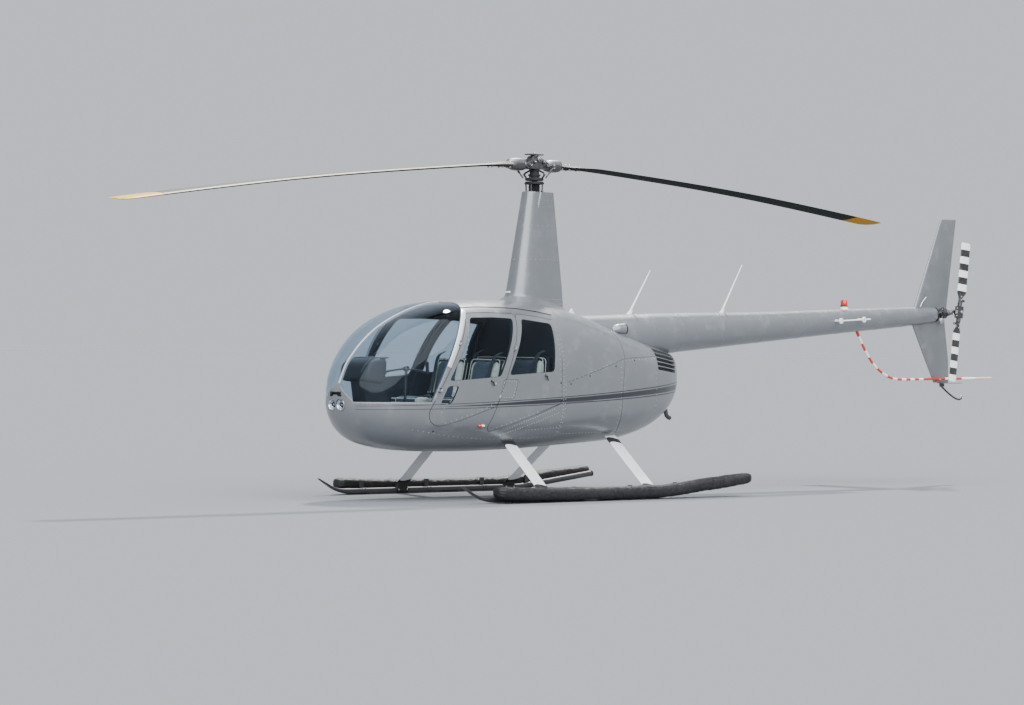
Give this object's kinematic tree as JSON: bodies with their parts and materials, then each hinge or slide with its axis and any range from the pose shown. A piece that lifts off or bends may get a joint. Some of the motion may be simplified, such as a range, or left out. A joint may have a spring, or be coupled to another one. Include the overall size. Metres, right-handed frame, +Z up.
{
  "type": "four-seat light helicopter",
  "caption": "Light helicopter with a two-bladed main rotor on a tall faired mast, tail rotor, four hinged doors and skids that carry stowed pop-out floats.",
  "frame": {"origin": "on the ground under the centre of the bounding box of the whole helicopter with its rotor fore and aft", "axes": "+X aft towards the tail, +Y to starboard, +Z up"},
  "size_m": [11.6999, 2.404, 3.27],
  "materials": {
    "silver_paint": "satin metallic paint",
    "white_paint": "gloss paint",
    "black_paint": "satin paint",
    "red_paint": "gloss paint with white bands",
    "blade_grey": "satin paint with yellow tips",
    "alloy": "bare and lightly brushed",
    "steel": "machined",
    "tinted_glazing": "lightly tinted clear acrylic",
    "black_rubber": "coated fabric of stowed floats",
    "dark_plastic": "matt",
    "seat_cloth": "woven covers with cream leather edges",
    "red_lens": "clear red lens"
  },
  "bodies": {
    "airframe": {"lower_hull": "silver_paint", "cabin_frame": "silver_paint", "windshield_bow": "silver_paint", "engine_bay_panels": "silver_paint", "upper_cowl": "silver_paint", "rear_cowl": "silver_paint", "left_windshield": "tinted_glazing", "right_windshield": "tinted_glazing", "cabin_floor": "dark_plastic", "rear_bulkhead": "dark_plastic", "instrument_console": "dark_plastic", "cyclic_stick": "black_paint", "left_front_seat": "seat_cloth", "right_front_seat": "seat_cloth", "rear_seat": "seat_cloth", "engine_block": "steel", "mast_fairing": "silver_paint", "swashplate": "steel", "tailcone": "silver_paint", "upper_fin": "silver_paint", "lower_fin": "silver_paint", "horizontal_stabilizer": "silver_paint", "fin_end_plate": "silver_paint", "tail_gearbox": "alloy", "tail_guard": "red_paint", "tail_skid": "white_paint", "left_skid": "black_paint", "right_skid": "black_paint", "left_float_bag": "black_rubber", "right_float_bag": "black_rubber", "left_front_leg": "white_paint", "right_front_leg": "white_paint", "left_rear_leg": "white_paint", "right_rear_leg": "white_paint", "landing_lamps": "alloy", "cooling_scoop": "silver_paint", "fin_antenna": "white_paint", "beacon": "red_lens", "rail_antenna": "white_paint", "front_whip_antenna": "white_paint", "rear_whip_antenna": "white_paint"},
    "main_rotor": {"rotor_mast": "steel", "rotor_hub": "alloy", "main_blade_1": "blade_grey", "main_blade_2": "blade_grey"},
    "tail_rotor": {"tail_rotor_hub": "black_paint", "tail_blade_1": "white_paint", "tail_blade_2": "white_paint"},
    "left_front_door": {"left_front_door": "silver_paint", "left_front_door_window": "tinted_glazing"},
    "left_rear_door": {"left_rear_door": "silver_paint", "left_rear_door_window": "tinted_glazing"},
    "right_front_door": {"right_front_door": "silver_paint", "right_front_door_window": "tinted_glazing"},
    "right_rear_door": {"right_rear_door": "silver_paint", "right_rear_door_window": "tinted_glazing"}
  },
  "joints": [
    {"name": "main_rotor_turn", "type": "hinge", "parent": "airframe", "child": "main_rotor", "pos_m": [-0.81, 0, 3.13], "axis": [0, 0, 1], "continuous": true},
    {"name": "tail_rotor_turn", "type": "hinge", "parent": "airframe", "child": "tail_rotor", "pos_m": [5.08, -0.287, 1.81], "axis": [0, 1, 0], "continuous": true},
    {"name": "left_front_door_hinge", "type": "hinge", "parent": "airframe", "child": "left_front_door", "pos_m": [-2.493, -0.602, 1.014], "axis": [-0.4738, 0, -0.8806], "range_deg": [0, 85]},
    {"name": "left_rear_door_hinge", "type": "hinge", "parent": "airframe", "child": "left_rear_door", "pos_m": [-1.818, -0.644, 0.943], "axis": [-0.402, 0, -0.9157], "range_deg": [0, 85]},
    {"name": "right_front_door_hinge", "type": "hinge", "parent": "airframe", "child": "right_front_door", "pos_m": [-2.493, 0.602, 1.014], "axis": [0.4738, 0, 0.8806], "range_deg": [0, 85]},
    {"name": "right_rear_door_hinge", "type": "hinge", "parent": "airframe", "child": "right_rear_door", "pos_m": [-1.818, 0.644, 0.943], "axis": [0.402, 0, 0.9157], "range_deg": [0, 85]}
  ],
  "couplings": [
    {"joint": "tail_rotor_turn", "follows": "main_rotor_turn", "ratio": 5.946}
  ]
}
